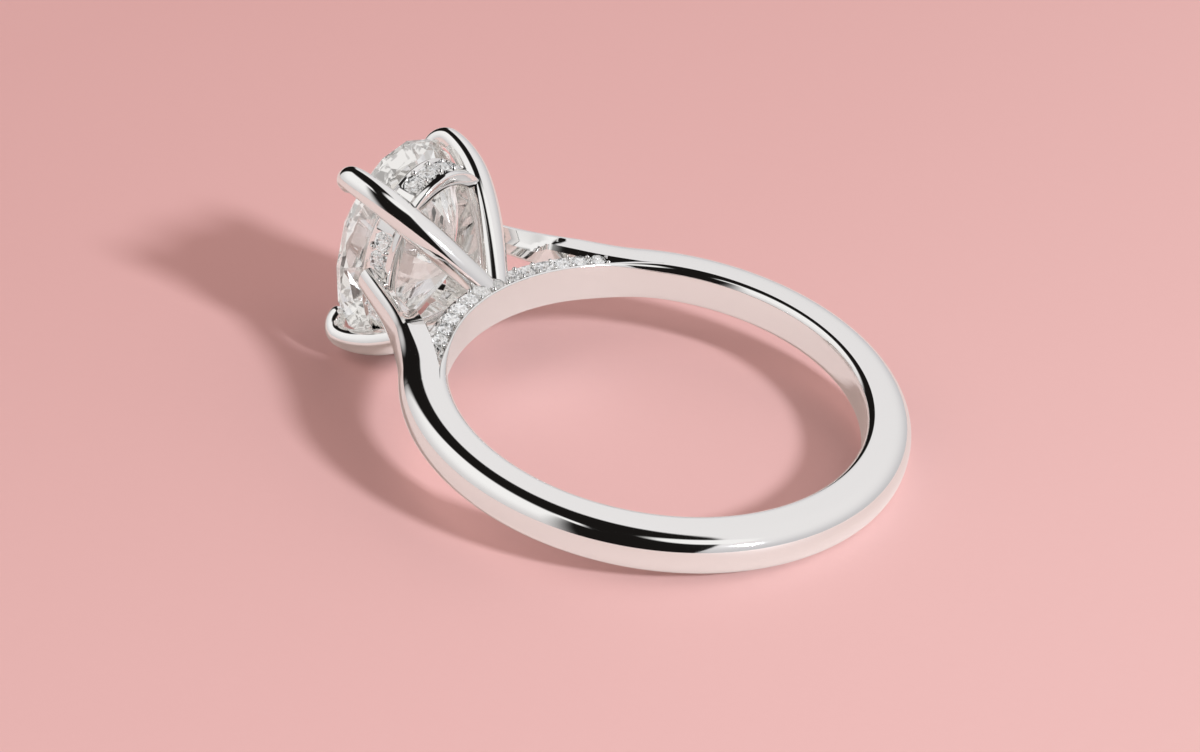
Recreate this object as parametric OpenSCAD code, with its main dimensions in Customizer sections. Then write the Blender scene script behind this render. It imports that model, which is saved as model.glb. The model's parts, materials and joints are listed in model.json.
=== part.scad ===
// Solitaire ring with an oval stone on cathedral shoulders, lying on its side.
// The ring is drawn with the finger hole along Z and the head towards +Y,
// and is then tilted so that the head and the back of the band touch Z = 0.

/* [Band] */
// Diameter of the finger hole
finger_d = 16.5; // [15:0.25:20]
// Width of the band along the finger
band_w = 1.7; // [1.5:0.1:2.4]
// Thickness of the band from the finger hole to its crest
band_t = 1.85; // [1.6:0.05:2.4]
// Height of the dome outside the band's flat sides
dome_h = 0.22; // [0.12:0.02:0.4]
// How far the rounding from the dome reaches down the flat sides
band_edge = 0.5; // [0.2:0.02:0.5]
// Radius of the comfort rounding along the finger hole's edges
comfort_r = 0.35; // [0.15:0.05:0.4]

/* [Bridge] */
// Thickness of the bridge that closes the hoop under the head
bridge_t = 1.12; // [1.05:0.01:1.3]
// Angle from the head at which the bridge and the shoulder part
window_angle = 26; // [22:1:30]

/* [Shoulders] */
// Angle from the head at which a shoulder leaves the band
shoulder_angle = 42; // [38:1:50]
// Thickness of a shoulder at the rail
shoulder_t = 0.5; // [0.4:0.05:0.6]
// Width of a shoulder at the rail
shoulder_w = 1.2; // [0.9:0.1:1.5]
// Height of the dome on a shoulder's outside
shoulder_dome = 0.42; // [0.3:0.02:0.5]
// How far a shoulder's end lies below the rail's top
shoulder_drop = 0.45; // [0.3:0.05:0.6]
// How fast a shoulder turns up towards the rail
shoulder_bow = 2.7; // [2.4:0.1:3]

/* [Centre stone] */
// Width of the oval stone, round the hoop
stone_w = 7; // [6.5:0.1:8]
// Length of the oval stone, along the finger
stone_l = 9.5; // [9:0.1:10.5]
// Height of the stone's girdle above the bridge
head_h = 4.95; // [4.6:0.05:5.6]

/* [Basket] */
// How far the rail's outside lies inside the stone's outline
rail_inset = 0.4; // [0.3:0.05:0.5]
// Thickness of the rail's wall
rail_t = 0.6; // [0.55:0.01:0.62]
// Height of the rail
rail_h = 1.5; // [1.3:0.05:1.6]
// Distance from the rail's top up to the girdle
rail_drop = 0.95; // [0.9:0.05:1.3]
// Radial thickness of a prong
prong_t = 0.9; // [0.7:0.05:1]
// Width of a prong across its thickness
prong_w = 1.3; // [1:0.05:1.4]
// Radius of the curl of a claw over the stone
claw_r = 0.62; // [0.55:0.01:0.8]

/* [Small stones] */
// Diameter of the middle stone of the bridge rows
row_d = 0.78; // [0.6:0.02:0.8]
// How much smaller each next stone of a row is
row_step = 0.015; // [0.01:0.005:0.04]
// Metal between two stones of a row
row_gap = 0.1; // [0.08:0.01:0.16]
// Plain rim between the finger hole and a row
row_rim = 0.17; // [0.15:0.01:0.2]
// Diameter of the stones set round the rail
halo_d = 0.78; // [0.6:0.02:0.8]
// Metal between two stones of the rail
halo_gap = 0.08; // [0.06:0.01:0.12]
// Gap between each stone and the metal that holds it
seat_gap = 0.03; // [0.02:0.01:0.04]

/* [Hidden] */
// Stones on each side of a bridge row's middle stone
ROW_SIDE = 6;
ROW_COUNT = 2 * ROW_SIDE + 1;
// Rail stones in each span between two prongs, four of them, two spans split by a shoulder
HALO_SPAN = 4;
HALO_COUNT = 4 * HALO_SPAN;
function numbered(base, count) = [for (i = [1 : count]) str(base, i)];
ROW_FRONT = numbered("front_row_stone_", ROW_COUNT);
ROW_BACK = numbered("back_row_stone_", ROW_COUNT);
HALO = numbered("halo_stone_", HALO_COUNT);

// Number of segments on turned surfaces
smooth = 128;
// Small step by which hidden ends are sunk into the metal they join
sink = 0.03;

// Radii of the hoop
ri = finger_d / 2;
ro = ri + band_t;
side_r = ro - dome_h;
bridge_r = ri + bridge_t;
half_w = band_w / 2;

// Heights above the finger hole's centre
girdle_y = bridge_r + head_h;
rail_top = girdle_y - rail_drop;
rail_foot = rail_top - rail_h;

// Half sizes of the stone's and the rail's ovals
stone_a = stone_w / 2;
stone_b = stone_l / 2;
rail_a = stone_a - rail_inset;
rail_b = stone_b - rail_inset;

// Cut of the stones, as shares of the narrow width
table_share = 0.58;
crown_share = 0.15;
girdle_share = 0.03;
pavilion_share = 0.42;

// Sweep: skins a list of rings, each a closed list of points, into one solid
module sweep(rings) {
    n = len(rings);
    m = len(rings[0]);
    sides = [for (i = [0 : n - 2], j = [0 : m - 1]) let (k = (j + 1) % m)
        each [[i * m + j, (i + 1) * m + k, i * m + k], [i * m + j, (i + 1) * m + j, (i + 1) * m + k]]];
    start = [for (j = [0 : m - 1]) j];
    end = [for (j = [m - 1 : -1 : 0]) (n - 1) * m + j];
    polyhedron(points = [for (ring = rings) each ring], faces = concat([start], sides, [end]));
}

// Outside of the hoop or a shoulder, from one flat side over the dome to the other, as (outwards, along the finger)
dome_power = 0.82;
function over_dome(half, drop, rise, steps) = [for (i = [0 : steps]) let (t = 180 * i / steps)
    [(drop + rise) * pow(sin(t), dome_power) - drop, half * sign(cos(t)) * pow(abs(cos(t)), dome_power)]];
function flipped(ring) = [for (i = [len(ring) - 1 : -1 : 0]) ring[i]];

// Hoop: band with flat sides, a domed outside and a comfort rounding inside
band_steps = 16;
comfort_steps = 6;
BAND_OUTSIDE = [for (q = over_dome(half_w, band_edge, dome_h, band_steps)) [side_r + q[0], q[1]]];
COMFORT = [for (i = [0 : comfort_steps]) let (t = 90 * i / comfort_steps)
    [ri + comfort_r * (1 - cos(t)), half_w - comfort_r * (1 - sin(t))]];
module band_section() {
    polygon(concat(flipped([for (p = COMFORT) [p[0], -p[1]]]), COMFORT, BAND_OUTSIDE));
}

// Window over the bridge, between the two shoulders
module window() {
    reach = 2 * ro;
    linear_extrude(height = 2 * band_w, center = true)
        difference() {
            polygon([[0, 0], [reach * sin(window_angle), reach * cos(window_angle)],
                [-reach * sin(window_angle), reach * cos(window_angle)]]);
            circle(r = bridge_r, $fn = smooth);
        }
}

module hoop() {
    difference() {
        rotate_extrude($fn = smooth) band_section();
        window();
    }
}

// Shoulder: leaves the band, thins and narrows, and turns up to the rail
shoulder_steps = 16;
shoulder_lead = 6;
shoulder_end_x = rail_a + 0.2 * shoulder_t;
shoulder_end_y = rail_top - shoulder_drop;
shoulder_end_angle = atan2(shoulder_end_x, shoulder_end_y);
shoulder_end_r = norm([shoulder_end_x, shoulder_end_y]);
shoulder_root_t = 0.78 * band_t;
// Smooth step from 0 at low to 1 at high
function ease(v, low, high) = let (k = min(max((v - low) / (high - low), 0), 1)) k * k * (3 - 2 * k);
function shoulder_at(u) = let (a = shoulder_angle + (shoulder_end_angle - shoulder_angle) * u,
    r = side_r - sink + (shoulder_end_r - side_r + sink) * pow(max(u, 0), shoulder_bow)) [r * sin(a), r * cos(a)];
function shoulder_dir(u) = let (d = shoulder_at(u + 0.01) - shoulder_at(u - 0.01)) d / norm(d);
// It narrows over the last part of the way
shoulder_narrows = 0.45;
function shoulder_half_w(u) = half_w - sink / 2 + (shoulder_w / 2 - half_w) * ease(u, shoulder_narrows, 1);
// Its dome grows over the first part of the way
shoulder_swell = 0.3;
shoulder_dome_steps = 8;
function shoulder_rise(u) = dome_h + (shoulder_dome - dome_h) * ease(u, 0, shoulder_swell);
// Inside corners of the section: shares of the half width and of the thickness
SHOULDER_INSIDE = [[-1, 0.75], [-0.7, 1], [0.7, 1], [1, 0.75]];
function shoulder_ring(u, side) = let (p = shoulder_at(u), d = shoulder_dir(u), out = [-d[1], d[0]] * -1,
    t = shoulder_root_t + (shoulder_t - shoulder_root_t) * max(u, 0), w = shoulder_half_w(u))
    concat([for (q = over_dome(w, min(band_edge, t / 2), shoulder_rise(u), shoulder_dome_steps))
        let (c = p + out * q[0]) [side * c[0], c[1], q[1]]],
        [for (q = SHOULDER_INSIDE) let (c = p - out * q[1] * t) [side * c[0], c[1], q[0] * w]]);
function shoulder_rings(side) = let (lead = -shoulder_lead / (shoulder_angle - shoulder_end_angle))
    [for (i = [0 : shoulder_steps]) let (u = lead + (1 - lead) * i / shoulder_steps)
        side > 0 ? shoulder_ring(u, side) : flipped(shoulder_ring(u, side))];
module shoulders() {
    for (side = [-1, 1]) sweep(shoulder_rings(side));
}

// Head pieces are drawn with Z up the head and turned to +Y here
module on_head() {
    rotate([-90, 0, 0]) children();
}

// Rail: an oval wall under the stone
function oval(a, b, n) = [for (i = [0 : n - 1]) let (t = 360 * i / n) [a * cos(t), b * sin(t)]];
module rail() {
    on_head() translate([0, 0, rail_foot]) linear_extrude(height = rail_h)
        difference() {
            polygon(oval(rail_a, rail_b, 60));
            polygon(oval(rail_a - rail_t, rail_b - rail_t, 60));
        }
}

// Prong: rises out of the bridge, bows outwards and ends in a claw over the stone
prong_angle = 54;
prong_sides = 12;
prong_steps = 11;
claw_steps = 6;
prong_root_y = bridge_r - 0.4;
prong_root_reach = 0.35;
prong_bow = 1.7;
claw_turn = 104;
claw_start_y = girdle_y + 0.22;
stone_reach = 1 / norm([cos(prong_angle) / stone_a, sin(prong_angle) / stone_b]);
prong_reach = stone_reach + prong_t / 2 + 0.12;
function prong_mid(s) = [prong_root_reach + (prong_reach - prong_root_reach) * (1 - pow(1 - s, prong_bow)),
    prong_root_y + (claw_start_y - prong_root_y) * s];
function claw_mid(f) = [prong_reach - claw_r * (1 - cos(f)), claw_start_y + claw_r * sin(f)];
// A prong is stouter below its claw, and its claw tapers to a rounded tip
prong_stout = 1.27;
stout_until = 0.6;
claw_root_share = [1, 0.82];
claw_tip_share = [0.8, 0.68];
claw_cap = 0.34 * prong_t;
CAP_TURNS = [35, 65, 84];
// Path rows: point (reach, height), direction in the upright plane, share of full thickness and width
function prong_size(s) = [prong_stout + (1 - prong_stout) * ease(s, stout_until, 1),
    0.8 + 0.2 * sin(180 * min(s * 0.9 + 0.05, 1))];
function prong_dir(s) = let (d = prong_mid(min(s + 0.01, 1)) - prong_mid(max(s - 0.01, 0))) d / norm(d);
function claw_dir(f) = [-sin(f), cos(f)];
function prong_rows() = concat(
    [for (i = [0 : prong_steps - 1]) let (s = i / prong_steps) [prong_mid(s), prong_dir(s), prong_size(s)]],
    [for (i = [0 : claw_steps]) let (k = i / claw_steps, f = claw_turn * k)
        [claw_mid(f), claw_dir(f), claw_root_share + (claw_tip_share - claw_root_share) * k]],
    [for (c = CAP_TURNS) [claw_mid(claw_turn) + claw_dir(claw_turn) * claw_cap * sin(c), claw_dir(claw_turn),
        claw_tip_share * cos(c)]]);
function prong_ring(row, angle) = [for (j = [0 : prong_sides - 1]) let (a = 360 * j / prong_sides,
    n = [row[1][1], -row[1][0]] * cos(a) * row[2][0] * prong_t / 2, w = sin(a) * row[2][1] * prong_w / 2,
    reach = row[0][0] + n[0])
    [reach * cos(angle) - w * sin(angle), row[0][1] + n[1], -(reach * sin(angle) + w * cos(angle))]];
PRONG_ANGLES = [prong_angle, 180 - prong_angle, 180 + prong_angle, -prong_angle];
PRONG_RINGS = [for (angle = PRONG_ANGLES) [for (row = prong_rows()) prong_ring(row, angle)]];
module prongs() {
    for (rings = PRONG_RINGS) sweep(rings);
}

// Cut stone: table, crown, girdle and pavilion to one culet, table towards +Z
function corner_ring(n, r, z, turn) = [for (i = [0 : n - 1]) let (t = 360 * i / n + turn)
    [r * cos(t), r * sin(t), z]];
module small_stone(d) {
    top = d * (girdle_share / 2 + crown_share);
    edge = d * girdle_share / 2;
    points = concat(corner_ring(8, d * table_share / 2, top, 22.5), corner_ring(8, d / 2, edge, 22.5),
        corner_ring(8, d / 2, -edge, 22.5), [[0, 0, -edge - d * pavilion_share]]);
    faces = concat([[for (j = [7 : -1 : 0]) j]],
        [for (i = [0 : 1], j = [0 : 7]) [8 * i + j, 8 * i + (j + 1) % 8, 8 * i + (j + 1) % 8 + 8, 8 * i + j + 8]],
        [for (j = [0 : 7]) [16 + j, 16 + (j + 1) % 8, 24]]);
    polyhedron(points = points, faces = faces);
}

// Seat for a small stone: straight down to the girdle, then tapered to the culet, turned in one piece
module small_seat(d) {
    r = d / 2 + seat_gap;
    culet_r = 0.15 * d;
    edge = d * girdle_share / 2 + seat_gap;
    bottom = -edge - d * pavilion_share - seat_gap;
    rotate_extrude($fn = smooth / 4)
        polygon([[0, bottom], [culet_r, bottom], [r, -edge], [r, d - edge], [0, d - edge]]);
}

// Centre stone: oval brilliant, each facet flat, drawn round and stretched to the oval
function brilliant_points() = let (
    rt = table_share, rm = 0.79, rn = 0.24, c = cos(22.5),
    e = girdle_share * stone_w / 2, hc = crown_share * stone_w, hp = pavilion_share * stone_w)
    [for (p = concat(corner_ring(8, rt, e + hc, 0),
        corner_ring(8, rm, e + hc * (1 - rm * c) / (1 - rt), 22.5),
        corner_ring(16, 1, e, 0), corner_ring(16, 1, -e, 0),
        corner_ring(8, rn, -e - hp * (1 - rn * c), 22.5), [[0, 0, -e - hp]])) [p[0] * stone_a, p[1] * stone_b, p[2]]];
module brilliant() {
    t = 0;
    m = 8;
    g = 16;
    b = 32;
    n = 48;
    culet = 56;
    faces = concat([[for (j = [7 : -1 : 0]) t + j]],
        [for (j = [0 : 7]) let (k = (j + 1) % 8) [t + j, t + k, m + j]],
        [for (j = [0 : 7]) let (k = (j + 7) % 8) [t + j, m + j, g + 2 * j, m + k]],
        [for (j = [0 : 7]) [m + j, g + 2 * j + 1, g + 2 * j]],
        [for (j = [0 : 7]) [m + j, g + (2 * j + 2) % 16, g + 2 * j + 1]],
        [for (j = [0 : 15]) [g + j, g + (j + 1) % 16, b + (j + 1) % 16, b + j]],
        [for (j = [0 : 7]) [n + j, b + 2 * j, b + 2 * j + 1]],
        [for (j = [0 : 7]) [n + j, b + 2 * j + 1, b + (2 * j + 2) % 16]],
        [for (j = [0 : 7]) let (k = (j + 7) % 8) [b + 2 * j, n + j, culet, n + k]]);
    polyhedron(points = brilliant_points(), faces = faces);
}

// Bridge rows: stones shrink from the middle, angles add up along the row
function row_size(i) = row_d - row_step * abs(i);
function row_radius(i) = ri + row_rim + row_size(i) / 2;
function row_pitch(i) = (row_size(i) / 2 + row_size(i - 1) / 2 + row_gap) / row_radius(i) * 180 / PI;
function row_angle(i) = abs(i) < 1 ? i * row_pitch(1) : sign(i) * (row_angle(abs(i) - 1) + row_pitch(abs(i)));
// Depth of a stone's girdle below the face, so that its table stands just proud
function small_depth(d) = d * (girdle_share / 2 + crown_share) - seat_gap;
module at_row(i, side) {
    rotate([0, 0, -row_angle(i)]) translate([0, row_radius(i), side * (half_w - small_depth(row_size(i)))])
        rotate([side > 0 ? 0 : 180, 0, 0]) children();
}

// Rail stones: spread along the oval from the middle of each span
function oval_speed(t) = norm([rail_a * sin(t), rail_b * cos(t)]) * PI / 180;
function oval_turn(t, s) = let (mid = t + s / oval_speed(t) / 2) t + s / oval_speed(mid);
halo_pitch = halo_d + halo_gap;
function halo_turn(k) = let (span = floor(k / HALO_SPAN), i = k % HALO_SPAN - (HALO_SPAN - 1) / 2,
    split = shoulder_w / 2 - halo_gap / 2)
    span % 2 == 1 ? oval_turn(90 * span, i * halo_pitch)
        : oval_turn(90 * span, sign(i) * (abs(i) * halo_pitch + split));
halo_lift = 0.1 * rail_h;
module at_halo(k) {
    t = halo_turn(k);
    out = atan2(sin(t) / rail_b, cos(t) / rail_a);
    depth = small_depth(halo_d);
    on_head() translate([rail_a * cos(t) - depth * cos(out), rail_b * sin(t) - depth * sin(out),
        (rail_foot + rail_top) / 2 + halo_lift]) rotate([0, 90, out]) rotate([0, 0, 90]) children();
}

// Rest: the ring tilts until the head's lowest point, claw or stone, is level with the rounded back of the band
HEAD_POINTS = concat([for (rings = PRONG_RINGS) for (ring = rings) each ring],
    [for (p = brilliant_points()) [p[0], girdle_y + p[2], -p[1]]]);
rest_tilt = max([for (p = HEAD_POINTS) min([for (b = BAND_OUTSIDE) atan2(-p[2] - b[1], p[1] + b[0])])]);
floor_z = max([for (b = BAND_OUTSIDE) b[0] * sin(rest_tilt) + b[1] * cos(rest_tilt)]);
front_y = max([for (p = HEAD_POINTS) p[1] * cos(rest_tilt) - p[2] * sin(rest_tilt)]);
back_y = -max([for (b = BAND_OUTSIDE) b[0] * cos(rest_tilt) + b[1] * sin(rest_tilt)]);
module at_rest() {
    translate([0, -(front_y + back_y) / 2, floor_z]) rotate([rest_tilt, 0, 0]) children();
}

// Soldered metal: hoop with bridge, shoulders, rail and prongs in one solid
module ring_mount() {
    color("silver") at_rest() difference() {
        union() {
            hoop();
            shoulders();
            rail();
            prongs();
        }
        for (side = [-1, 1], i = [-ROW_SIDE : ROW_SIDE]) at_row(i, side) small_seat(row_size(i));
        for (k = [0 : HALO_COUNT - 1]) at_halo(k) small_seat(halo_d);
    }
}

module centre_stone() {
    color("lightcyan") at_rest() on_head() translate([0, 0, girdle_y]) brilliant();
}

module row_stone(i, side) {
    color("azure") at_rest() at_row(i, side) small_stone(row_size(i));
}

module halo_stone(k) {
    color("azure") at_rest() at_halo(k) small_stone(halo_d);
}

ring_mount();
centre_stone();
for (i = [0 : ROW_COUNT - 1]) {
    row_stone(i - ROW_SIDE, 1);
    row_stone(i - ROW_SIDE, -1);
}
for (k = [0 : HALO_COUNT - 1])
    halo_stone(k);
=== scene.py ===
# Cathedral ring with an oval stone, lying on its side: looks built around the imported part
import json
import math

import bmesh
import bpy
from mathutils import Matrix, Vector


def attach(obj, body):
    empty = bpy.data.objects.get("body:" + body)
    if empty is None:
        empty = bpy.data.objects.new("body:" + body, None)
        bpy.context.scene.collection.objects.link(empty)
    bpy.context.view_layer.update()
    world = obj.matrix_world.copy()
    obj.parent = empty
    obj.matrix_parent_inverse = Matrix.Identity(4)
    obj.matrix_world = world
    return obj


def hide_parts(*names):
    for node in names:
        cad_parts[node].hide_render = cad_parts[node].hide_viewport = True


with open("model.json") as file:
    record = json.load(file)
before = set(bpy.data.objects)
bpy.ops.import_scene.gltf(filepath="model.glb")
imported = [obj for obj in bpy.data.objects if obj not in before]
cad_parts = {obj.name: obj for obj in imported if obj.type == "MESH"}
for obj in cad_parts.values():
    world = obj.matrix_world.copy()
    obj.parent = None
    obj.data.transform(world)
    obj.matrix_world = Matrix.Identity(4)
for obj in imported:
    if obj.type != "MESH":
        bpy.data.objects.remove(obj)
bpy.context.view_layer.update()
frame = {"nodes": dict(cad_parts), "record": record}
bpy.ops.object.select_all(action="DESELECT")

# Everything is drawn in millimetres round the finger hole: X round the band, Y up the head, Z along the
# finger. The finger hole's mount says how the ring lies, so each finished piece is laid down by it.
fingerHole = frame["record"]["mounts"][0]
restTilt = math.atan2(-fingerHole["axis"][1], fingerHole["axis"][2])
restTurn = Matrix.Rotation(restTilt, 4, "X")
restPlace = Matrix.Translation(fingerHole["pos_m"]) @ restTurn @ Matrix.Scale(0.001, 4)
print("frame loaded, tilt", round(math.degrees(restTilt), 2))


# Materials. The scale of a pattern counts its cells to the metre, so 1000 makes them 1 mm wide
def hexColor(text):
    # sRGB hex to linear
    channels = [int(text[i:i + 2], 16) / 255 for i in (1, 3, 5)]
    return [c / 12.92 if c < 0.04045 else ((c + 0.055) / 1.055) ** 2.4 for c in channels] + [1.0]


def addNode(tree, kind, settings=None, sockets=None, links=None):
    # settings are the node's own, sockets are fixed inputs, links are inputs fed by another node's output
    node = tree.nodes.new(kind)
    for name, value in (settings or {}).items():
        setattr(node, name, value)
    for name, value in (sockets or {}).items():
        node.inputs[name].default_value = value
    for name, output in (links or {}).items():
        tree.links.new(output, node.inputs[name])
    return node


def newMaterial(name):
    # An empty material, its nodes, and the place on the piece that its patterns follow
    material = bpy.data.materials.new(name)
    material.use_nodes = True
    tree = material.node_tree
    tree.nodes.clear()
    return material, tree, addNode(tree, "ShaderNodeTexCoord").outputs["Object"]


colorA, colorB, mixedColor = 6, 7, 2    # a colour Mix node's sockets, by their numbers

goldLook = {
    "color": "#f1efed", "roughness": (0.035, 0.07),
    "marks": 2500,                       # buffing marks of 0.4 mm, coarser than real ones, so that they show
    "waves": 700, "waveStrength": 0.02,  # slow waves of 1.4 mm left by the buffing wheel
    "waveHeight": 0.0001,
}


def makeWhiteGold():
    # 18 carat white gold, rhodium plated and buffed: a clear mirror, softened a trace by buffing marks
    material, tree, place = newMaterial("polishedWhiteGold")
    low, high = goldLook["roughness"]
    marks = addNode(tree, "ShaderNodeTexNoise", sockets={"Scale": goldLook["marks"], "Detail": 3},
                    links={"Vector": place})
    sheen = addNode(tree, "ShaderNodeMapRange", sockets={"To Min": low, "To Max": high},
                    links={"Value": marks.outputs["Fac"]})
    waves = addNode(tree, "ShaderNodeTexNoise", sockets={"Scale": goldLook["waves"], "Detail": 1},
                    links={"Vector": place})
    bump = addNode(tree, "ShaderNodeBump",
                   sockets={"Strength": goldLook["waveStrength"], "Distance": goldLook["waveHeight"]},
                   links={"Height": waves.outputs["Fac"]})
    shader = addNode(tree, "ShaderNodeBsdfPrincipled",
                     sockets={"Base Color": hexColor(goldLook["color"]), "Metallic": 1.0},
                     links={"Roughness": sheen.outputs["Result"], "Normal": bump.outputs["Normal"]})
    addNode(tree, "ShaderNodeOutputMaterial", links={"Surface": shader.outputs["BSDF"]})
    return material


# Cut diamond turns most light back inside itself. A ray that has turned more often than the depth is not
# traced on: the stone shows painted light and shade there, an emitted pattern of bright and dark sparks, from
# 1.1 mm wide in the oval stone to 0.2 mm in the small ones.
# The second line of each look sets painted light and shade: the size and colours of the emitted sparks that
# deep rays meet in place of the stone
ovalLook = {
    "color": "#ffffff", "roughness": 0.01, "polish": 900,
    "depth": 5.5, "paintedSparks": 900, "darkShare": 0.0, "lightFrom": 0.7, "dark": "#8d8985", "light": "#f1eeea",
}
meleeLook = {
    "color": "#ffffff", "roughness": 0.03, "polish": 900,
    "depth": 4.5, "paintedSparks": 5200, "darkShare": 0.3, "lightFrom": 0.5, "dark": "#0c0c0c", "light": "#f4f4f4",
}
diamondIor = 2.417


def makeDiamond(name, look):
    # Clear polished crystal: sharp facets that show their neighbours, with a faint haze of polish. Past the
    # ray depth it glows instead with painted sparks of light and shade
    material, tree, place = newMaterial(name)
    polish = addNode(tree, "ShaderNodeTexNoise", sockets={"Scale": look["polish"], "Detail": 2},
                     links={"Vector": place})
    haze = addNode(tree, "ShaderNodeMapRange", sockets={"To Min": 0.0, "To Max": look["roughness"]},
                   links={"Value": polish.outputs["Fac"]})
    shader = addNode(tree, "ShaderNodeBsdfPrincipled",
                     sockets={"Base Color": hexColor(look["color"]), "IOR": diamondIor,
                              "Transmission Weight": 1.0},
                     links={"Roughness": haze.outputs["Result"]})
    # From here on, painted light and shade: rays past the depth see an emitted pattern of bright and dark
    # sparks in place of the crystal
    ray = addNode(tree, "ShaderNodeLightPath")
    paintedPastDepth = addNode(tree, "ShaderNodeMath", {"operation": "GREATER_THAN"}, {1: look["depth"]},
                   {0: ray.outputs["Ray Depth"]})
    cells = addNode(tree, "ShaderNodeTexVoronoi", sockets={"Scale": look["paintedSparks"]}, links={"Vector": place})
    pick = addNode(tree, "ShaderNodeSeparateXYZ", links={"Vector": cells.outputs["Color"]})
    paintedTone = addNode(tree, "ShaderNodeMapRange",
                   sockets={"From Min": look["darkShare"], "From Max": look["lightFrom"]},
                   links={"Value": pick.outputs["X"]})
    light = addNode(tree, "ShaderNodeMix", {"data_type": "RGBA"},
                    {colorA: hexColor(look["dark"]), colorB: hexColor(look["light"])},
                    {0: paintedTone.outputs["Result"]})
    paintedSparks = addNode(tree, "ShaderNodeEmission", sockets={"Strength": 1.0},
                     links={"Color": light.outputs[mixedColor]})
    whole = addNode(tree, "ShaderNodeMixShader", links={
        0: paintedPastDepth.outputs["Value"], 1: shader.outputs["BSDF"], 2: paintedSparks.outputs["Emission"]})
    addNode(tree, "ShaderNodeOutputMaterial", links={"Surface": whole.outputs["Shader"]})
    return material


cardLook = {
    "far": "#e4b3af", "paintedLightNear": "#f3c8c4",     # the card's pink, darker far off by painted shade and lighter near by painted light
    "fromY": 0.05, "toY": -0.045,            # metres between which the one becomes the other
    "paintedDapples": 16, "paintedDappleShare": 0.5,         # soft patches of painted light and shade, 60 mm, and their part in the change
    "toneEnds": (0.2, 1.25),
    "paintedReflection": "#f6e8e3",                   # painted reflection: a paler card that polished metal shows in place of the card
    "throughStones": "#dbd2cc",              # painted colour of the card where cut stones show it: greyer than the card
    "tooth": 1800, "toothStrength": 0.1, "toothHeight": 0.0001,    # fibres 0.6 mm wide
    "roughness": 0.75, "specular": 0.2,
}


def makeCard():
    # Matt coated card with a fine tooth: no gloss, and painted light and shade that change slowly across it
    material, tree, place = newMaterial("pinkCard")
    tooth = addNode(tree, "ShaderNodeTexNoise", sockets={"Scale": cardLook["tooth"], "Detail": 3},
                    links={"Vector": place})
    bump = addNode(tree, "ShaderNodeBump",
                   sockets={"Strength": cardLook["toothStrength"], "Distance": cardLook["toothHeight"]},
                   links={"Height": tooth.outputs["Fac"]})
    # Painted light and shade: the card darkens away from the camera side and lightens near it, in soft
    # patches
    paintedDapples = addNode(tree, "ShaderNodeTexNoise", sockets={"Scale": cardLook["paintedDapples"], "Detail": 0.5},
                     links={"Vector": place})
    axes = addNode(tree, "ShaderNodeSeparateXYZ", links={"Vector": place})
    across = addNode(tree, "ShaderNodeMapRange",
                     sockets={"From Min": cardLook["fromY"], "From Max": cardLook["toY"]},
                     links={"Value": axes.outputs["Y"]})
    paintedTone = addNode(tree, "ShaderNodeMath", {"operation": "MULTIPLY_ADD"}, {1: cardLook["paintedDappleShare"]},
                   {0: paintedDapples.outputs["Fac"], 2: across.outputs["Result"]})
    low, high = cardLook["toneEnds"]
    share = addNode(tree, "ShaderNodeMapRange", sockets={"From Min": low, "From Max": high},
                    links={"Value": paintedTone.outputs["Value"]})
    card = addNode(tree, "ShaderNodeMix", {"data_type": "RGBA"},
                   {colorA: hexColor(cardLook["far"]), colorB: hexColor(cardLook["paintedLightNear"])},
                   {0: share.outputs["Result"]})
    # Painted reflections: polished metal and cut stones are shown paler colours than the card has
    ray = addNode(tree, "ShaderNodeLightPath")
    for kind, color in (("Is Glossy Ray", "paintedReflection"), ("Is Transmission Ray", "throughStones")):
        card = addNode(tree, "ShaderNodeMix", {"data_type": "RGBA"}, {colorB: hexColor(cardLook[color])},
                       {0: ray.outputs[kind], colorA: card.outputs[mixedColor]})
    shader = addNode(tree, "ShaderNodeBsdfPrincipled",
                     sockets={"Roughness": cardLook["roughness"], "Specular IOR Level": cardLook["specular"]},
                     links={"Base Color": card.outputs[mixedColor], "Normal": bump.outputs["Normal"]})
    addNode(tree, "ShaderNodeOutputMaterial", links={"Surface": shader.outputs["BSDF"]})
    return material


whiteGold = makeWhiteGold()
centreDiamond = makeDiamond("ovalDiamond", ovalLook)
smallDiamond = makeDiamond("meleeDiamond", meleeLook)
print("materials made")

# Small helpers for modelling
weldGap = 0.0005    # points nearer than this are one, in mm
nearby = 0.01       # share of a path either side of a point, to find which way the path runs there


def mix(a, b, share):
    return a + (b - a) * share


def ease(value, low, high):
    # 0 below low, 1 above high, and a soft change between them
    t = min(max((value - low) / (high - low), 0), 1)
    return t * t * (3 - 2 * t)


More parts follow.
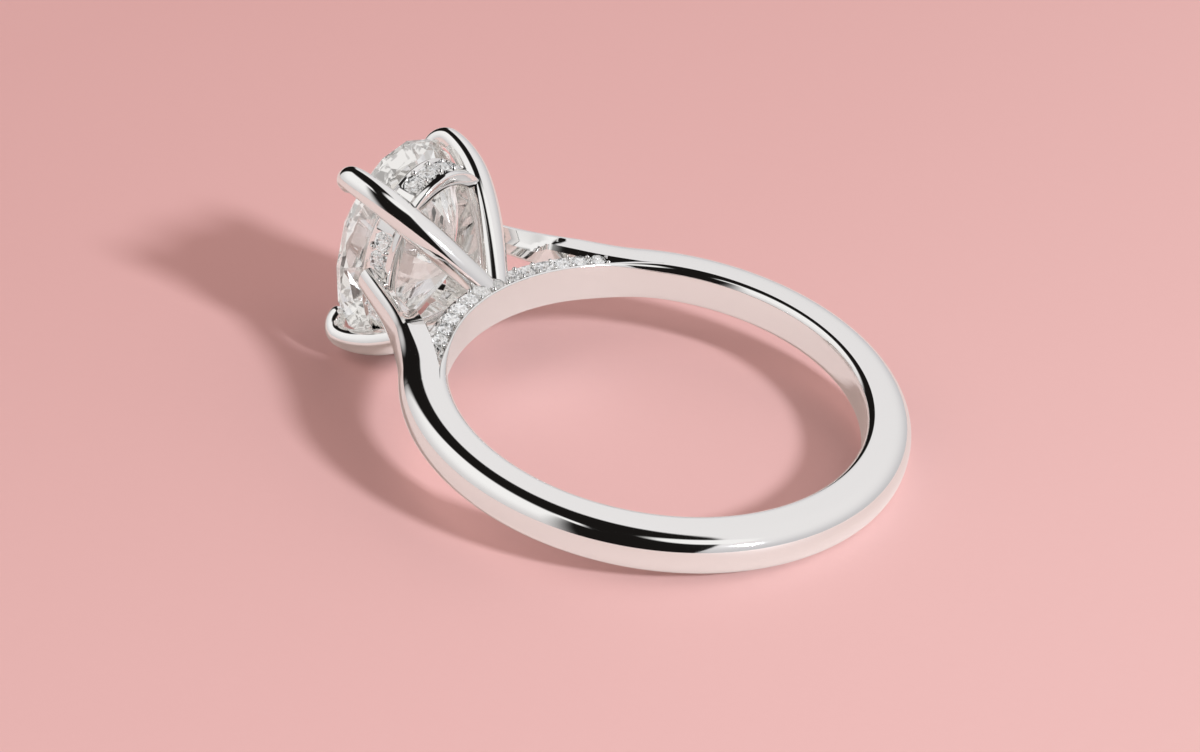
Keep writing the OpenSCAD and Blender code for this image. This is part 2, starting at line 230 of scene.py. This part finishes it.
def loft(name, rings, closed=False):
    # One filled ring is extruded on from ring to ring, and each new ring's points are moved to their places
    bpy.ops.object.select_all(action="DESELECT")
    bpy.ops.mesh.primitive_circle_add(vertices=len(rings[0]), radius=1, fill_type="NGON")
    piece = bpy.context.object
    piece.name = name
    bpy.ops.object.mode_set(mode="EDIT")
    mesh = bmesh.from_edit_mesh(piece.data)
    current = list(next(iter(mesh.faces)).verts)
    for vert, point in zip(current, rings[0]):
        vert.co = point
    bmesh.update_edit_mesh(piece.data)
    for ring in rings[1:]:
        before = [vert.co.to_tuple(5) for vert in current]
        bpy.ops.mesh.extrude_region_move()
        mesh = bmesh.from_edit_mesh(piece.data)
        fresh = {vert.co.to_tuple(5): vert for vert in mesh.verts if vert.select}
        current = [fresh[key] for key in before]
        for vert, point in zip(current, ring):
            vert.co = point
        bmesh.update_edit_mesh(piece.data)
    if closed:
        # The last ring lies on the first: both caps go, and the seam is merged
        bpy.ops.mesh.select_all(action="DESELECT")
        mesh = bmesh.from_edit_mesh(piece.data)
        for face in mesh.faces:
            face.select = len(face.verts) == len(rings[0])
        bpy.ops.mesh.delete(type="ONLY_FACE")
        bpy.ops.mesh.select_all(action="SELECT")
        bpy.ops.mesh.remove_doubles(threshold=weldGap)
    bpy.ops.mesh.select_all(action="SELECT")
    bpy.ops.mesh.normals_make_consistent(inside=False)
    bpy.ops.object.mode_set(mode="OBJECT")
    return piece


def cutAway(piece, cutter):
    bpy.ops.object.select_all(action="DESELECT")
    bpy.context.view_layer.objects.active = piece
    cut = piece.modifiers.new("cut", "BOOLEAN")
    cut.operation = "DIFFERENCE"
    cut.solver = "EXACT"
    cut.object = cutter
    bpy.ops.object.modifier_apply(modifier=cut.name)
    bpy.data.objects.remove(cutter)


def joinPieces(pieces, name):
    bpy.ops.object.select_all(action="DESELECT")
    for piece in pieces:
        piece.select_set(True)
    bpy.context.view_layer.objects.active = pieces[0]
    bpy.ops.object.join()
    pieces[0].name = name
    return pieces[0]


def layDown(piece, sharpAngle):
    # Puts a finished piece of the mount at rest, in metres, with its place in its mesh
    piece.matrix_world = restPlace @ piece.matrix_world
    bpy.ops.object.select_all(action="DESELECT")
    piece.select_set(True)
    bpy.context.view_layer.objects.active = piece
    bpy.ops.object.transform_apply(location=True, rotation=True, scale=True)
    bpy.ops.object.shade_smooth_by_angle(angle=math.radians(sharpAngle))
    even = piece.modifiers.new("evenNormals", "WEIGHTED_NORMAL")
    even.keep_sharp = True
    bpy.ops.object.modifier_apply(modifier=even.name)
    piece.data.materials.clear()
    piece.data.materials.append(whiteGold)
    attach(piece, "root")
    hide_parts("ring_mount")
    print("laid down", piece.name, len(piece.data.polygons), "faces")


# Band: hoop with flat sides that round over into a domed outside, thinned to the bridge under the head
band = {
    "holeRadius": 8.25, "thickness": 1.85, "halfWidth": 0.85, "steps": 360,
    "dome": 0.22, "domePower": 0.86, "domeSteps": 14,    # a power under 1 is fuller than an ellipse
    "edge": 0.6,                                   # how far the rounding reaches down the flat side
    "comfort": 0.35, "comfortSteps": 8,            # rounding along the finger hole
    "flatShare": 0.3,                              # of the half width, where the hole's wall gets a point
    "bridgeThickness": 1.12, "bridgeEdge": 0.07, "bridgeDome": 0.05,
    "bridgeEnds": (27, 34),                        # degrees from the head over which bridge becomes band
    "rim": 0.06, "rimFlat": 0.03, "rimSlope": 0.02,    # plain rim below the row: rounding, top, slope
    "rimEnds": (30, 52),                           # over which the rim opens out to the comfort rounding
    "recess": 0.13, "recessEnds": (37, 45),        # how deep the row's field lies, and where it runs out
    "underShoulder": 0.03, "underEnds": (47, 51),    # dip where a shoulder takes over its outside
}
bandOuter = band["holeRadius"] + band["thickness"]
bandEdge = bandOuter - band["dome"]
bridgeTop = band["holeRadius"] + band["bridgeThickness"]


def overDome(half, drop, rise):
    # Offsets (outwards, along the finger) from one flat side over the dome to the middle
    steps, power = band["domeSteps"], band["domePower"]
    turns = [math.radians(90 * i / steps) for i in range(steps + 1)]
    return [((drop + rise) * math.sin(t) ** power - drop, half * max(math.cos(t), 0) ** power) for t in turns]


def bandSection(angle):
    # Half section as (radius, height) from the hole outwards, then mirrored
    away = abs(angle)
    full = ease(away, *band["bridgeEnds"])
    hole, half = band["holeRadius"], band["halfWidth"]
    comfort = mix(band["rim"], band["comfort"], ease(away, *band["rimEnds"]))
    recess = band["recess"] * (1 - ease(away, *band["recessEnds"]))
    edge, dome = mix(band["bridgeEdge"], band["edge"], full), mix(band["bridgeDome"], band["dome"], full)
    under = band["underShoulder"] * (1 - ease(away, *band["underEnds"]))
    outer = mix(bridgeTop - band["bridgeDome"], bandEdge, full) - under
    field = half - recess - under
    points = [(hole, 0.0), (hole, half * band["flatShare"])]
    for step in range(band["comfortSteps"] + 1):
        turn = math.radians(90 * step / band["comfortSteps"])
        points.append((hole + comfort * (1 - math.cos(turn)), half - comfort + comfort * math.sin(turn)))
    rim = hole + comfort + band["rimFlat"]
    points += [(rim, half), (rim + band["rimSlope"], field), (mix(rim, outer - edge, 0.5), field)]
    points += [(outer + out, height) for out, height in overDome(field, edge, dome)]
    return points + [(r, -h) for r, h in reversed(points[1:-1])]


def onHoop(angle, section):
    a = math.radians(angle)
    return [Vector((r * math.sin(a), r * math.cos(a), h)) for r, h in section]


hoopAngles = [-180 + 360 * i / band["steps"] for i in range(band["steps"] + 1)]
hoop = loft("bandMetal", [onHoop(a, bandSection(a)) for a in hoopAngles], closed=True)
print("hoop made", len(hoop.data.polygons))

# Gallery rail: oval wall with a polished lower rim and a sunk face for its stones
rail = {
    "halfWidth": 3.1, "halfLength": 4.35, "top": 13.37, "height": 1.5, "steps": 160,
    "wall": 0.6, "wallAtProng": 0.24, "wallEnds": (4, 13),    # it is thinner this many degrees round a prong
    "edge": 0.1, "edgeSteps": 4,
    "lowRim": 0.4, "highRim": 0.14, "recess": 0.11, "rimSlope": 0.03,
}
# Shoulders: leave the band, thin out and turn up to the rail
shoulder = {
    "startAngle": 45, "lead": 6, "bow": 2.85, "steps": 96,    # it starts this many degrees inside the band
    "rootThickness": 1.443, "endThickness": 0.5,
    "endOut": 0.2, "endDrop": 0.45,          # its end's share outside the rail, and drop below the rail's top
    "dome": 0.38, "swell": 0.45,             # dome of the arm, and the share of the way over which it grows
    "edge": 0.14, "edgeEnds": (0, 0.5),      # how far its rounding reaches down its flat side
    "endHalfWidth": 0.6, "narrowEnds": (0.45, 1),
    "innerHalfWidth": 0.2, "backCorner": 0.75,
    "outerEnd": 0.5, "innerEnd": 0.66,       # shares of the way where the flat side ends along its two edges
    "scoop": 0.1,                            # share of the way that the hollow behind the flat side takes
    "sidePoints": (0.2, 0.4, 0.6, 0.8),      # where the flat side has its points, from outside to inside
}
shoulderEnd = (rail["halfWidth"] + shoulder["endOut"] * shoulder["endThickness"],
               rail["top"] - shoulder["endDrop"])
shoulderEndAngle = math.degrees(math.atan2(*shoulderEnd))
shoulderEndRadius = math.hypot(*shoulderEnd)


def shoulderPoint(u):
    a = math.radians(mix(shoulder["startAngle"], shoulderEndAngle, u))
    r = mix(bandEdge, shoulderEndRadius, max(u, 0) ** shoulder["bow"])
    return Vector((r * math.sin(a), r * math.cos(a), 0))


def shoulderRing(u):
    along = (shoulderPoint(u + nearby) - shoulderPoint(u - nearby)).normalized()
    out = Vector((along.y, -along.x, 0))
    middle = shoulderPoint(u)
    thick = mix(shoulder["rootThickness"], shoulder["endThickness"], max(u, 0))
    rise = mix(band["dome"], shoulder["dome"], ease(u, 0, shoulder["swell"]))
    drop = min(mix(band["edge"], shoulder["edge"], ease(u, *shoulder["edgeEnds"])), 0.5 * thick)
    # The outside keeps its width longest; behind the flat side's slanting end the inside is hollowed away
    half = mix(band["halfWidth"], shoulder["endHalfWidth"], ease(u, *shoulder["narrowEnds"]))
    side = list(reversed(overDome(half, drop, rise)))
    for share in shoulder["sidePoints"]:
        end = mix(shoulder["outerEnd"], shoulder["innerEnd"], share)
        hollow = ease(u, end, end + shoulder["scoop"])
        side.append((-mix(drop, thick, share), half - hollow * (half - shoulder["innerHalfWidth"]) * share))
    side += [(-thick, shoulder["backCorner"] * side[-1][1]), (-thick, 0)]
    whole = side + [(o, -h) for o, h in reversed(side[1:-1])]
    return [middle + out * o + Vector((0, 0, h)) for o, h in whole]


lead = -shoulder["lead"] / (shoulder["startAngle"] - shoulderEndAngle)
shoulderShares = [mix(lead, 1, i / shoulder["steps"]) for i in range(shoulder["steps"] + 1)]
rightRings = [shoulderRing(u) for u in shoulderShares]
leftRings = [[Vector((-p.x, p.y, p.z)) for p in ring] for ring in rightRings]
shoulders = joinPieces([loft("shoulderRight", rightRings), loft("shoulderLeft", leftRings)], "shoulderMetal")
print("shoulders made", len(shoulders.data.polygons))

# Claw prongs: rise out of the bridge, bow outwards and curl over the stone
prong = {
    "angle": 54, "thickness": 0.9, "width": 1.3, "sides": 32, "steps": 34,
    "rootReach": 0.35, "reach": 4.745, "bow": 1.7,        # distance from the head's middle, below and above
    "rootDepth": 0.4, "curlStart": 14.54,                 # depth in the bridge, and height of the claw
    "rootWidth": 0.8, "widthRun": (0.05, 0.9),            # share of the width at both ends, full between
    "stout": 1.27, "stoutEnds": (0.6, 1),                 # share of the thickness, and where it runs out
    "curl": 0.62, "curlTurn": 104, "curlSteps": 16,
    "clawRoot": (1, 0.82), "clawTip": (0.8, 0.68),        # shares of thickness and width along the claw
    "capLength": 0.34, "capTurns": (15, 30, 45, 60, 74, 85),    # the claw's rounded tip
}
prongRoot = bridgeTop - prong["rootDepth"]


def railSection(turn):
    # (inwards from the outside, height above the foot), round once
    a, b = rail["halfWidth"], rail["halfLength"]
    heading = math.degrees(math.atan2(b * abs(math.sin(turn)), a * abs(math.cos(turn))))
    clear = ease(abs(heading - prong["angle"]), *rail["wallEnds"])
    edge, wall, height = rail["edge"], mix(rail["wallAtProng"], rail["wall"], clear), rail["height"]
    low, high, sunk, slope = rail["lowRim"], height - rail["highRim"], rail["recess"], rail["rimSlope"]
    points = []
    corners = ((edge, edge, 180, 270), (wall - edge, edge, 270, 360),
               (wall - edge, height - edge, 0, 90), (edge, height - edge, 90, 180))
    for x, y, first, last in corners:
        for step in range(rail["edgeSteps"] + 1):
            corner = math.radians(mix(first, last, step / rail["edgeSteps"]))
            points.append((x + edge * math.cos(corner), y + edge * math.sin(corner)))
    return points + [(0, high + slope), (sunk, high), (sunk, low + slope), (0, low)]


def railRing(turn):
    a, b = rail["halfWidth"], rail["halfLength"]
    spot = Vector((a * math.cos(turn), 0, b * math.sin(turn)))
    out = Vector((math.cos(turn) / a, 0, math.sin(turn) / b)).normalized()
    foot = rail["top"] - rail["height"]
    return [spot - out * x + Vector((0, foot + y, 0)) for x, y in railSection(turn)]


railRings = [railRing(math.tau * i / rail["steps"]) for i in range(rail["steps"] + 1)]
galleryRail = loft("galleryRail", railRings, closed=True)
print("rail made", len(galleryRail.data.polygons))


def prongMiddle(s):
    return (mix(prong["rootReach"], prong["reach"], 1 - (1 - s) ** prong["bow"]),
            mix(prongRoot, prong["curlStart"], s))


def curlMiddle(turn):
    t = math.radians(turn)
    return (prong["reach"] - prong["curl"] * (1 - math.cos(t)),
            prong["curlStart"] + prong["curl"] * math.sin(t))


def curlDirection(turn):
    t = math.radians(turn)
    return Vector((-math.sin(t), math.cos(t)))


def prongRows():
    # (reach, height), direction, share of the thickness and of the width
    rows = []
    start, run = prong["widthRun"]
    for i in range(prong["steps"]):
        s = i / prong["steps"]
        low, high = prongMiddle(max(s - nearby, 0)), prongMiddle(min(s + nearby, 1))
        direction = Vector((high[0] - low[0], high[1] - low[1])).normalized()
        stout = mix(prong["stout"], 1, ease(s, *prong["stoutEnds"]))
        wide = mix(prong["rootWidth"], 1, math.sin(math.pi * min(s * run + start, 1)))
        rows.append((prongMiddle(s), direction, stout, wide))
    (rootThick, rootWide), (tipThick, tipWide) = prong["clawRoot"], prong["clawTip"]
    for i in range(prong["curlSteps"] + 1):
        share = i / prong["curlSteps"]
        turn = prong["curlTurn"] * share
        rows.append((curlMiddle(turn), curlDirection(turn),
                     mix(rootThick, tipThick, share), mix(rootWide, tipWide, share)))
    tip, direction = curlMiddle(prong["curlTurn"]), curlDirection(prong["curlTurn"])
    length = prong["capLength"] * prong["thickness"]
    for rise in prong["capTurns"]:
        r = math.radians(rise)
        spot = (tip[0] + direction.x * length * math.sin(r), tip[1] + direction.y * length * math.sin(r))
        rows.append((spot, direction, tipThick * math.cos(r), tipWide * math.cos(r)))
    return rows


def prongRing(row, angle):
    (reach, height), direction, thick, wide = row
    a = math.radians(angle)
    points = []
    for j in range(prong["sides"]):
        t = math.tau * j / prong["sides"]
        n = math.cos(t) * thick * prong["thickness"] / 2
        w = math.sin(t) * wide * prong["width"] / 2
        x, y = reach + direction.y * n, height - direction.x * n
        points.append(Vector((x * math.cos(a) - w * math.sin(a), y, -(x * math.sin(a) + w * math.cos(a)))))
    return points


prongAngles = [prong["angle"], 180 - prong["angle"], 180 + prong["angle"], -prong["angle"]]
prongs = joinPieces([loft("claw", [prongRing(row, angle) for row in prongRows()]) for angle in prongAngles],
                    "clawProngs")
print("prongs made", len(prongs.data.polygons))

# Seats: the small stones' own shapes, a little larger, are cut out of the metal that holds them
seatScale = 1.07
rowCount, haloCount = 13, 16
rowNames = ["%s_row_stone_%d" % (side, i) for side in ("front", "back") for i in range(1, rowCount + 1)]
haloNames = ["halo_stone_%d" % i for i in range(1, haloCount + 1)]
stoneSpots = {}
for name in rowNames + haloNames:
    corners = [restPlace.inverted() @ vert.co for vert in frame["nodes"][name].data.vertices]
    stoneSpots[name] = sum(corners, Vector()) / len(corners)


def seatCutter(names):
    seats = []
    for name in names:
        bpy.ops.object.select_all(action="DESELECT")
        copy = frame["nodes"][name].copy()
        copy.data = copy.data.copy()
        bpy.context.scene.collection.objects.link(copy)
        copy.parent = None
        for key in list(copy.keys()):
            del copy[key]
        spot = Matrix.Translation(stoneSpots[name])
        copy.data.transform(spot @ Matrix.Scale(seatScale, 4) @ spot.inverted() @ restPlace.inverted())
        seats.append(copy)
    cutter = joinPieces(seats, "seats")
    bpy.ops.object.mode_set(mode="EDIT")
    bpy.ops.mesh.select_all(action="SELECT")
    bpy.ops.mesh.remove_doubles(threshold=weldGap)
    bpy.ops.object.mode_set(mode="OBJECT")
    return cutter


cutAway(hoop, seatCutter(rowNames))
cutAway(galleryRail, seatCutter(haloNames))
print("seats cut", len(hoop.data.polygons), len(galleryRail.data.polygons))

# Grains: beads of metal raised between the stones, in pairs
grain = {
    "radius": 0.13,
    "rowSpread": 0.33, "haloSpread": 0.34,     # distance of each bead of a pair from the stones' middle line
    "rowSink": 0.08, "haloSink": 0.07,         # how deep a bead's middle lies below the surface
    "rowEnd": 34,                              # degrees from the head to a row's end
    "sizeFall": 0.3, "spreadFall": 0.35,       # shares that size and distance lose towards that end
    "endStep": 2.6,                            # degrees from a row's last stone to its last pair
    "haloPitch": 1.3,                          # stones further apart than this have no beads between them
}


def addGrain(spot, radius):
    bpy.ops.object.select_all(action="DESELECT")
    bpy.ops.mesh.primitive_ico_sphere_add(subdivisions=2, radius=radius, location=spot)
    return bpy.context.object


grains = []
for side, sign in (("front", 1), ("back", -1)):
    spots = [stoneSpots["%s_row_stone_%d" % (side, i)] for i in range(1, rowCount + 1)]
    angles = [math.degrees(math.atan2(p.x, p.y)) for p in spots]
    radii = [math.hypot(p.x, p.y) for p in spots]
    pairs = [(angles[0] - grain["endStep"], radii[0])]
    pairs += [(mix(angles[i], angles[i + 1], 0.5), mix(radii[i], radii[i + 1], 0.5))
              for i in range(rowCount - 1)]
    pairs += [(angles[-1] + grain["endStep"], radii[-1])]
    height = sign * (band["halfWidth"] - grain["rowSink"])
    for angle, radius in pairs:
        size = grain["radius"] * (1 - grain["sizeFall"] * abs(angle) / grain["rowEnd"])
        spread = grain["rowSpread"] * (1 - grain["spreadFall"] * abs(angle) / grain["rowEnd"])
        for offset in (-spread, spread):
            a, r = math.radians(angle), radius + offset
            grains.append(addGrain((r * math.sin(a), r * math.cos(a), height), size))
centres = [stoneSpots[name] for name in haloNames]
for here, ahead in zip(centres, centres[1:] + centres[:1]):
    if (here - ahead).length > grain["haloPitch"]:
        continue
    a, b = rail["halfWidth"], rail["halfLength"]
    turn = math.atan2(mix(here.z, ahead.z, 0.5) / b, mix(here.x, ahead.x, 0.5) / a)
    out = Vector((math.cos(turn) / a, 0, math.sin(turn) / b)).normalized()
    middle = Vector((a * math.cos(turn), here.y, b * math.sin(turn))) - out * grain["haloSink"]
    for offset in (-grain["haloSpread"], grain["haloSpread"]):
        grains.append(addGrain(middle + Vector((0, offset, 0)), grain["radius"]))
grains = joinPieces(grains, "beadGrains")
bpy.ops.object.transform_apply(location=True, rotation=True, scale=True)
print("grains made", len(grains.data.polygons))

# Edges that turn by more than the angle stay sharp
for piece, sharpAngle in ((hoop, 32), (shoulders, 32), (galleryRail, 32), (prongs, 60), (grains, 60)):
    layDown(piece, sharpAngle)

# Stones: the part's own cuts are right, so they only take their materials and keep their facets flat
for name, node in frame["nodes"].items():
    if name == "ring_mount":
        continue
    node.data.materials.clear()
    node.data.materials.append(centreDiamond if name == "centre_stone" else smallDiamond)
    for face in node.data.polygons:
        face.use_smooth = False
print("stones dressed")

# Floor, 3 m across, so that its edges are never seen
bpy.ops.object.select_all(action="DESELECT")
bpy.ops.mesh.primitive_plane_add(size=3, location=(0, 0, 0))
floor = bpy.context.object
floor.name = "floor"
floor.data.materials.append(makeCard())


def directionTo(azimuth, elevation):
    a, e = math.radians(azimuth), math.radians(elevation)
    return Vector((math.cos(a) * math.cos(e), math.sin(a) * math.cos(e), math.sin(e)))


# Key lamp: small and far, so that the shadows are clean, with a soft edge. It is aimed at the head
keyLamp = {
    "azimuth": -92, "elevation": 29.5, "distance": 1.0, "aim": (0, 0.0112, 0.006),
    "size": 0.13, "power": 8.6, "color": "#edf3fa",
}
towardsKey = directionTo(keyLamp["azimuth"], keyLamp["elevation"])
bpy.ops.object.select_all(action="DESELECT")
bpy.ops.object.light_add(type="AREA", location=Vector(keyLamp["aim"]) + towardsKey * keyLamp["distance"])
light = bpy.context.object
light.name = "keyLamp"
light.rotation_euler = towardsKey.to_track_quat("Z", "Y").to_euler()
light.data.shape = "DISK"
light.data.size = keyLamp["size"]
light.data.energy = keyLamp["power"]
light.data.color = hexColor(keyLamp["color"])[:3]

# Studio: two white walls with a dark gap between them, which runs from the back over the top to the front.
# Metal this bright shows only what stands round it, so the walls are drawn in the world by direction.
# A wall's lean is a slope to the gap's side, from and to are azimuths in degrees, and each is a pair of ends
# between which the wall fades in or out.
walls = {
    "gapAzimuth": 60,                  # where the gap runs to at the back
    "right": {"lean": (0.37, 0.43), "from": (-128, -112), "to": (40, 46), "color": ("#cfced1", "#f3f2f3")},
    "left": {"lean": (0.2, 0.34), "from": (84, 94), "to": (178, 196), "color": ("#dcdadb", "#ffffff")},
    "riseTo": 0.75,                    # height of the direction at which a wall is brightest
    "strip": {"lean": (0.22, 0.28), "leanEnd": (0.38, 0.44), "from": (170, 182), "to": (196, 206)},
    "dark": "#1a1817",
    "throughStones": "#c4bfbb",        # the gap as stones show it: their facets mix it with the walls
    "fillTint": "#ffe9e4", "fillStrength": 1.1,    # soft light on the floor, warmed by the pink all round
    "lowest": 0.02,                    # directions under this height count as this high
}
softbox = {
    "azimuth": -88, "elevation": 60, "color": "#ffffff",
    "inner": 10, "outer": 17,          # degrees from its middle between which it fades out
}
world = bpy.data.worlds.new("studio")
bpy.context.scene.world = world
world.use_nodes = True
sky = world.node_tree
sky.nodes.clear()


def worldMath(operation, *values):
    # A value is a number or another node's output
    node = addNode(sky, "ShaderNodeMath", {"operation": operation})
    for index, value in enumerate(values):
        if isinstance(value, (int, float)):
            node.inputs[index].default_value = value
        else:
            sky.links.new(value, node.inputs[index])
    return node.outputs[0]


def softStep(value, low, high):
    node = addNode(sky, "ShaderNodeMapRange", {"interpolation_type": "SMOOTHSTEP"},
                   {"From Min": low, "From Max": high}, {"Value": value})
    return node.outputs["Result"]


def fadeOut(value, low, high):
    return worldMath("SUBTRACT", 1, softStep(value, low, high))


def worldMix(share, first, second, blend="MIX"):
    # A colour is a hex text or another node's output
    node = addNode(sky, "ShaderNodeMix", {"data_type": "RGBA", "blend_type": blend}, links={0: share})
    for index, color in ((colorA, first), (colorB, second)):
        if isinstance(color, str):
            node.inputs[index].default_value = hexColor(color)
        else:
            sky.links.new(color, node.inputs[index])
    return node.outputs[mixedColor]


def wallLight(wall, slope, azimuth):
    inside = worldMath("MULTIPLY", softStep(azimuth, *wall["from"]), fadeOut(azimuth, *wall["to"]))
    return worldMath("MULTIPLY", inside, softStep(slope, *wall["lean"]))


around = addNode(sky, "ShaderNodeTexCoord")
axes = addNode(sky, "ShaderNodeSeparateXYZ", links={"Vector": around.outputs["Generated"]})
x, y, z = (axes.outputs[axis] for axis in "XYZ")
# Lean: how far a direction tips from straight up to the gap's right, as a slope
gap = math.radians(walls["gapAzimuth"])
sideways = worldMath("SUBTRACT", worldMath("MULTIPLY", x, math.sin(gap)),
                     worldMath("MULTIPLY", y, math.cos(gap)))
rightLean = worldMath("DIVIDE", sideways, worldMath("MAXIMUM", z, walls["lowest"]))
leftLean = worldMath("MULTIPLY", rightLean, -1)
# The azimuth is measured twice, so that neither wall crosses the seam at 180 degrees
rightAzimuth = worldMath("MULTIPLY", worldMath("ARCTAN2", y, x), 180 / math.pi)
quarterLess = worldMath("ARCTAN2", worldMath("MULTIPLY", x, -1), y)
leftAzimuth = worldMath("ADD", worldMath("MULTIPLY", quarterLess, 180 / math.pi), 90)
rightShare = wallLight(walls["right"], rightLean, rightAzimuth)
leftShare = wallLight(walls["left"], leftLean, leftAzimuth)
# A thin strip runs on from the left wall's edge towards the front
stripShare = worldMath("MULTIPLY", wallLight(walls["strip"], leftLean, leftAzimuth),
                       fadeOut(leftLean, *walls["strip"]["leanEnd"]))
# A round softbox stands over the key lamp
towardsBox = directionTo(softbox["azimuth"], softbox["elevation"])
facing = worldMath("MULTIPLY", z, towardsBox.z)
facing = worldMath("MULTIPLY_ADD", y, towardsBox.y, facing)
facing = worldMath("MULTIPLY_ADD", x, towardsBox.x, facing)
boxShare = softStep(facing, *(math.cos(math.radians(softbox[edge])) for edge in ("outer", "inner")))

ray = addNode(sky, "ShaderNodeLightPath")
rise = softStep(z, 0.0, walls["riseTo"])
studioColor = worldMix(ray.outputs["Is Transmission Ray"], walls["dark"], walls["throughStones"])
studioColor = worldMix(rightShare, studioColor, worldMix(rise, *walls["right"]["color"]))
studioColor = worldMix(leftShare, studioColor, worldMix(rise, *walls["left"]["color"]))
studioColor = worldMix(worldMath("MAXIMUM", stripShare, boxShare), studioColor, softbox["color"])
studioColor = worldMix(ray.outputs["Is Diffuse Ray"], studioColor, walls["fillTint"], "MULTIPLY")
strength = worldMath("MULTIPLY_ADD", ray.outputs["Is Diffuse Ray"], walls["fillStrength"] - 1, 1.0)
background = addNode(sky, "ShaderNodeBackground", links={"Color": studioColor, "Strength": strength})
addNode(sky, "ShaderNodeOutputWorld", links={"Surface": background.outputs["Background"]})
print("studio made")

# Camera at the photograph's angle, with its own three axes
camera = {
    "place": (-0.06619, -0.05702, 0.050338), "lens": 75, "sensor": 36, "nearest": 0.001,
    "right": (0.6558, -0.7549, 0.0081), "up": (0.3591, 0.3214, 0.8762), "back": (-0.664, -0.5717, 0.4819),
}
bpy.ops.object.camera_add(location=camera["place"])
lens = bpy.context.object
lens.name = "camera"
lens.rotation_euler = Matrix((camera["right"], camera["up"], camera["back"])).transposed().to_euler()
lens.data.lens = camera["lens"]
lens.data.sensor_width = camera["sensor"]
lens.data.clip_start = camera["nearest"]
bpy.context.scene.camera = lens
bpy.context.scene.view_settings.view_transform = "Standard"
